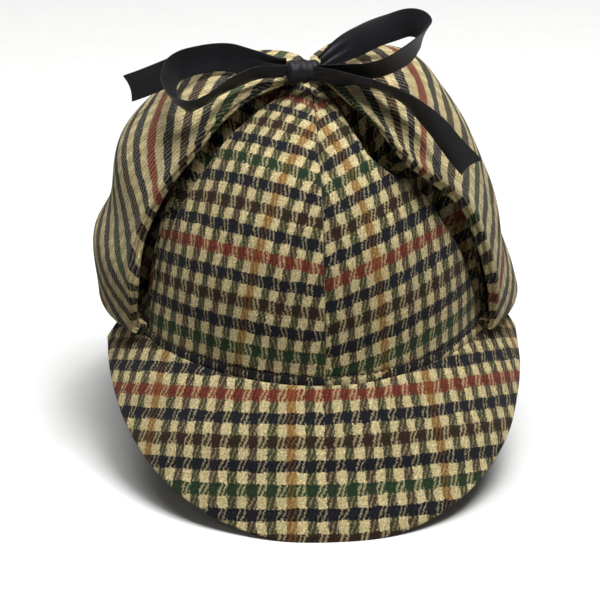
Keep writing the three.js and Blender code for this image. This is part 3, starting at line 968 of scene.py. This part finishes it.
def flap_sheet(flap, wall):
    """Ear flap: a short leg against the crown, a rolled fold, then the raised cloth to a rounded tip."""
    table, facing = flap["table"], flap["facing"]
    across = facing * (2 * crowded(FLAP_GRID["columns"]) - 1)
    start = flap_start(table, facing, across)
    corner = (1 - np.abs(across) ** FLAP_TIP["round"]) ** (1 / FLAP_TIP["round"])
    end = 1 - FLAP_TIP["drop"] * (1 - corner)
    base, stand = flap_point(table, facing, across, start)
    inner = FLAP_FOLD["gap"] + wall / 2
    radius = (stand - inner) / 2
    rows = []
    for k in range(FLAP_FOLD["turns"] + 1):
        turn = math.pi * max(0, k - 1) / FLAP_FOLD["turns"]
        out = inner + radius * (1 - math.cos(turn))
        z = base[:, 2] - radius * math.sin(turn) + (FLAP_FOLD["leg"] if k == 0 else 0)
        share = np.clip((z - RIM_BACK_Z) / (CROWN["height"] + out), 0, None)
        rows.append(points(facing * dome_half_width(base[:, 1], share, out), base[:, 1], z))
    up = mix(start, end, np.linspace(0, 1, FLAP_GRID["rows"])[:, None])
    raised = len(rows)
    grid = np.concatenate([rows, flap_point(table, facing, across, up)[0]])
    normal = grid_normals(grid)
    normal[raised:] = flap_normals(table, facing, across, up)
    cut = laid_flat(grid[raised:])
    tall = distances(grid)
    under = tall[:raised] - tall[raised]
    fold = cut[:1] + np.stack([0 * under, under], -1)
    bulge = ripple(cut, "flap", facing) * np.clip(cut[..., 1] / RIPPLES["flap"]["from_fold"], 0, 1)
    grid[raised:] += normal[raised:] * bulge[..., None]
    return grid, normal, np.concatenate([fold, cut])


def flap_swell(cut):
    """Extra thickness along a flap's sewn edges, dying away towards its fold and its tip."""
    edge = hump(edge_distance(cut), FLAP_EDGE["width"])
    tall = cut[..., 1]
    ends = np.minimum(tall, tall.max(axis=0) + FLAP_EDGE["tip"] - tall) / FLAP_EDGE["fade"]
    return FLAP_EDGE["swell"] * edge * np.clip(ends, 0, 1)


def flap_weave(flap, cut):
    """Place of a flap's cut in the tweed, which is laid sideways so that its rows stand up."""
    forward, tall = flap["facing"] * cut[..., 0], cut[..., 1]
    turn = math.radians(flap["turn"])
    across = tall * math.cos(turn) - forward * math.sin(turn)
    up = forward * math.cos(turn) + tall * math.sin(turn)
    return np.stack([across, up + flap["up"]], -1)


# Ribbon bow

def rate(before, here, after, first, second):
    """Rate of change at the middle one of three points, from the gaps on either side of it."""
    return (here - before) / first - (after - before) / (first + second) + (after - here) / second


def smooth_line(route, step):
    """Points, about a step apart, of a centripetal curve through a route's rows, with both leans."""
    rows = np.array(route, float)
    ends = [2 * rows[0] - rows[1], *rows, 2 * rows[-1] - rows[-2]]
    found = []
    for k in range(len(rows) - 1):
        before, start, end, after = [row[:3] for row in ends[k : k + 4]]
        gaps = [math.sqrt(math.dist(a, b)) for a, b in ((before, start), (start, end), (end, after))]
        leave = rate(before, start, end, *gaps[:2]) * gaps[1]
        arrive = rate(start, end, after, *gaps[1:]) * gaps[1]
        count = max(2, round(math.dist(start, end) / step))
        share = np.linspace(0, 1, count, endpoint=k == len(rows) - 2)[:, None]
        place = curve(start, end, leave, arrive, share)
        found.append(np.concatenate([place, mix(rows[k, 3:], rows[k + 1, 3:], share)], axis=1))
    line = np.concatenate(found)
    return line[:, :3], np.radians(line[:, 3]), np.radians(line[:, 4])


def ribbon_strip(row, width):
    """Grid of a ribbon along its route, gathered where it enters the knot."""
    line, rearward, rightward = smooth_line(row["route"], RIBBON_STEP)
    along = unit(np.gradient(line, axis=0))
    upright = np.cos(rightward)
    across = points(np.sin(rightward), -np.sin(rearward) * upright, np.cos(rearward) * upright)
    across = unit(across - (across * along).sum(-1, keepdims=True) * along)
    walked = distances(line)
    nearest = np.minimum(walked, walked[-1] - walked) if row["loop"] else walked
    share = eased(np.clip(nearest / GATHER["length"], 0, 1))
    full = width * mix(GATHER["width"], 1, share)
    part = np.linspace(-0.5, 0.5, RIBBON_ACROSS)
    face = np.cross(across, along)
    pleats = (1 - share)[:, None] * GATHER["depth"] * np.cos(part * GATHER["folds"] * math.pi)[None, :]
    cup = CURL["cup"] * share[:, None] * (4 * part**2)[None, :]
    waves = CURL["wave"] * np.sin(walked / CURL["stretch"])[:, None] * part[None, :]
    lift = pleats + cup + waves
    sideways = across[:, None] * (full[:, None] * part)[..., None]
    grid = line[:, None] + sideways + face[:, None] * lift[..., None]
    if not row["loop"]:
        near_end = np.clip(1 - (walked[-1] - walked) / RIBBON_END["length"], 0, 1)
        notch = RIBBON_END["notch"] * near_end[:, None] * (1 - 4 * part**2)
        grid -= along[:, None] * notch[..., None]
    cut = np.stack(np.broadcast_arrays(part[None, :] * width, walked[:, None]), -1)
    return line, grid, cut


def bow_knot(name):
    """Gathered band of ribbon wound once round the middle of the bow."""
    low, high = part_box("bow_knot")
    centre = (low + high) / 2 - Vector((0, 0, KNOT_FULLNESS["drop"] * MM))
    half = (high - low) / 2 * Vector((KNOT_FULLNESS["wide"], 1, KNOT_FULLNESS["tall"]))
    bpy.ops.object.select_all(action="DESELECT")
    bpy.ops.mesh.primitive_uv_sphere_add(
        segments=KNOT_GRID["segments"], ring_count=KNOT_GRID["rings"], radius=1, location=(0, 0, 0)
    )
    knot = bpy.context.object
    knot.name = name
    knot.data.uv_layers[0].name = "cut"
    for vertex in knot.data.vertices:
        side, depth, tall = vertex.co.z, vertex.co.x, vertex.co.y
        ring = math.hypot(depth, tall)
        if ring > TINY:
            barrel = (1 - abs(side) ** KNOT_PLEATS["barrel"]) ** (1 / KNOT_PLEATS["barrel"])
            turn = math.atan2(tall, depth)
            sway = KNOT_PLEATS["sway"] * math.sin(turn + KNOT_PLEATS["start"])
            pleat = math.cos(side * KNOT_PLEATS["count"] * math.pi + sway)
            full = max(barrel, KNOT_PLEATS["end"] * ring)
            grow = full * (1 - KNOT_PLEATS["depth"] + KNOT_PLEATS["depth"] * pleat) / ring
            depth, tall = depth * grow, tall * grow
        vertex.co = centre + Vector((half.x * side, half.y * depth, half.z * tall))
    for corner in knot.data.uv_layers["cut"].data:
        corner.uv = (corner.uv[1] * 2 * half.x / MM, corner.uv[0] * 2 * math.pi * half.y / MM)
    knot.data.shade_smooth()
    return knot


class HAT_OT_stage(bpy.types.Operator):
    """Adds the pale floor, the soft lights and the camera"""

    bl_idname = "hat.stage"
    bl_label = "Stage"

    def execute(self, context):
        settings = context.scene.hat_stage
        bpy.ops.object.select_all(action="DESELECT")
        bpy.ops.mesh.primitive_plane_add(size=FLOOR["size"])
        floor = context.object
        floor.name = "floor"
        material, tree, shader = bare_material("floor_paper", {"Roughness": FLOOR["roughness"]})
        paper = grained(tree, settings.floor, FLOOR)
        bounce = tree.nodes.new("ShaderNodeLightPath").outputs["Is Diffuse Ray"]
        wire(tree, shader.inputs["Base Color"], blend_colours(tree, bounce, paper, settings.bounce))
        floor.data.materials.append(material)
        world = context.scene.world or bpy.data.worlds.new("sky")
        context.scene.world = world
        world.use_nodes = True
        sky = world.node_tree.nodes["Background"]
        sky.inputs["Color"].default_value = (1, 1, 1, 1)
        sky.inputs["Strength"].default_value = settings.sky
        for lamp in LAMPS:
            way = AIM - Vector(lamp["place"])
            bpy.ops.object.light_add(
                type="AREA", location=lamp["place"], rotation=way.to_track_quat("-Z", "Y").to_euler()
            )
            light = context.object
            light.name = lamp["name"] + "_light"
            light.data.energy = settings.power * lamp["share"]
            light.data.size = lamp["size"]
        self.add_camera(context)
        context.scene.view_settings.view_transform = "Standard"
        return {"FINISHED"}

    def add_camera(self, context):
        azimuth, elevation = math.radians(CAMERA["azimuth"]), math.radians(CAMERA["elevation"])
        level = math.cos(elevation)
        back = Vector((math.sin(azimuth) * level, -math.cos(azimuth) * level, math.sin(elevation)))
        right = Vector((math.cos(azimuth), math.sin(azimuth), 0))
        up = back.cross(right)
        beside = (AIM_PIXEL[0] - PICTURE / 2) / CAMERA["focal_pixels"]
        above = (PICTURE / 2 - AIM_PIXEL[1]) / CAMERA["focal_pixels"]
        look = -back - right * beside - up * above
        bpy.ops.object.camera_add(
            location=AIM + back * CAMERA["distance"], rotation=look.to_track_quat("-Z", "Y").to_euler()
        )
        camera = context.object
        camera.data.sensor_width = CAMERA["sensor"]
        camera.data.lens = CAMERA["sensor"] * CAMERA["focal_pixels"] / PICTURE
        context.scene.camera = camera


class HAT_OT_bow(bpy.types.Operator):
    """Adds the satin bow: two loops, two tails and the knot that holds them"""

    bl_idname = "hat.bow"
    bl_label = "Ribbon bow"

    def execute(self, context):
        settings = context.scene.hat_ribbon
        material = satin(settings)
        width = settings.width / MM
        knot = bow_knot("satin_knot")
        dress(knot, material, "ribbon", "bow_knot")
        for row in RIBBONS:
            line, grid, cut = ribbon_strip(row, width)
            piece = closed_sheet("satin_" + row["piece"], grid, cut, settings.wall / MM)
            dress(piece, material, "ribbon", row["node"])
        return {"FINISHED"}


class HAT_OT_crown(bpy.types.Operator):
    """Adds the six tweed panels of the crown"""

    bl_idname = "hat.crown"
    bl_label = "Crown"

    def execute(self, context):
        settings = context.scene.hat_cloth
        wall = settings.crown_wall / MM
        for panel in PANELS:
            grid, cut = crown_panel(panel, wall)
            piece = closed_sheet("tweed_" + panel["side"], grid, cut, wall)
            dress(piece, tweed(settings, "tweed", panel["twill"]), "tweed", "crown_panel_" + panel["side"])
        return {"FINISHED"}


class HAT_OT_stitching(bpy.types.Operator):
    """Adds the row of stitches round the crown, just above its rim"""

    bl_idname = "hat.stitching"
    bl_label = "Stitching"

    def execute(self, context):
        settings = context.scene.hat_cloth
        corners, faces = [], []
        for panel in PANELS:
            made, sides = stitches(*stitch_line(panel, settings.crown_wall / MM))
            first = sum(len(group) for group in corners)
            corners.append(made)
            faces += [[first + corner for corner in side] for side in sides]
        piece = mesh_piece("thread_rim_stitches", np.concatenate(corners) * MM, faces, None)
        dress(piece, sewing_thread(settings), "tweed")
        return {"FINISHED"}


class HAT_OT_peaks(bpy.types.Operator):
    """Adds the tweed peaks at the back and the front"""

    bl_idname = "hat.peaks"
    bl_label = "Peaks"

    def execute(self, context):
        settings = context.scene.hat_cloth
        wall = settings.peak_wall / MM
        for peak in PEAKS:
            grid, cut = peak_sheet(peak, wall)
            piece = closed_sheet(f"tweed_{peak['side']}_peak", grid, cut, wall, rolls=2, lowest=0.0)
            dress(piece, tweed(settings, "tweed", peak["twill"]), "tweed", peak["side"] + "_peak")
        return {"FINISHED"}


class HAT_OT_ear_flaps(bpy.types.Operator):
    """Adds the tweed ear flaps, folded up against the crown"""

    bl_idname = "hat.ear_flaps"
    bl_label = "Ear flaps"

    def execute(self, context):
        settings = context.scene.hat_cloth
        wall = settings.flap_wall / MM
        for flap in FLAPS:
            grid, normal, cut = flap_sheet(flap, wall)
            walls = wall + flap_swell(cut)
            piece = closed_sheet(
                f"tweed_{flap['side']}_flap", grid, flap_weave(flap, cut), walls, rolls=2, normal=normal
            )
            dress(piece, tweed(settings, "tweed_flap", flap["twill"]), "tweed", flap["side"] + "_ear_flap")
        return {"FINISHED"}


class HAT_PT_pieces(bpy.types.Panel):
    """Lists the pieces of the hat in the order that they are made"""

    bl_idname = "HAT_PT_pieces"
    bl_label = "Deerstalker Hat"
    bl_space_type = "VIEW_3D"
    bl_region_type = "UI"
    bl_category = "Hat"

    def draw(self, context):
        for operator in OPERATORS:
            self.layout.operator(operator.bl_idname)


SETTINGS = {"hat_cloth": HatCloth, "hat_ribbon": HatRibbon, "hat_stage": HatStage}
OPERATORS = (HAT_OT_stage, HAT_OT_bow, HAT_OT_crown, HAT_OT_stitching, HAT_OT_peaks, HAT_OT_ear_flaps)
CLASSES = (*SETTINGS.values(), *OPERATORS, HAT_PT_pieces)


def register():
    for made in CLASSES:
        bpy.utils.register_class(made)
    for name, settings in SETTINGS.items():
        setattr(bpy.types.Scene, name, bpy.props.PointerProperty(type=settings))


def unregister():
    for name in SETTINGS:
        delattr(bpy.types.Scene, name)
    for made in reversed(CLASSES):
        bpy.utils.unregister_class(made)


def main():
    register()
    bpy.ops.hat.stage()
    bpy.ops.hat.bow()
    bpy.ops.hat.crown()
    bpy.ops.hat.stitching()
    bpy.ops.hat.peaks()
    bpy.ops.hat.ear_flaps()


if __name__ == "__main__":
    main()
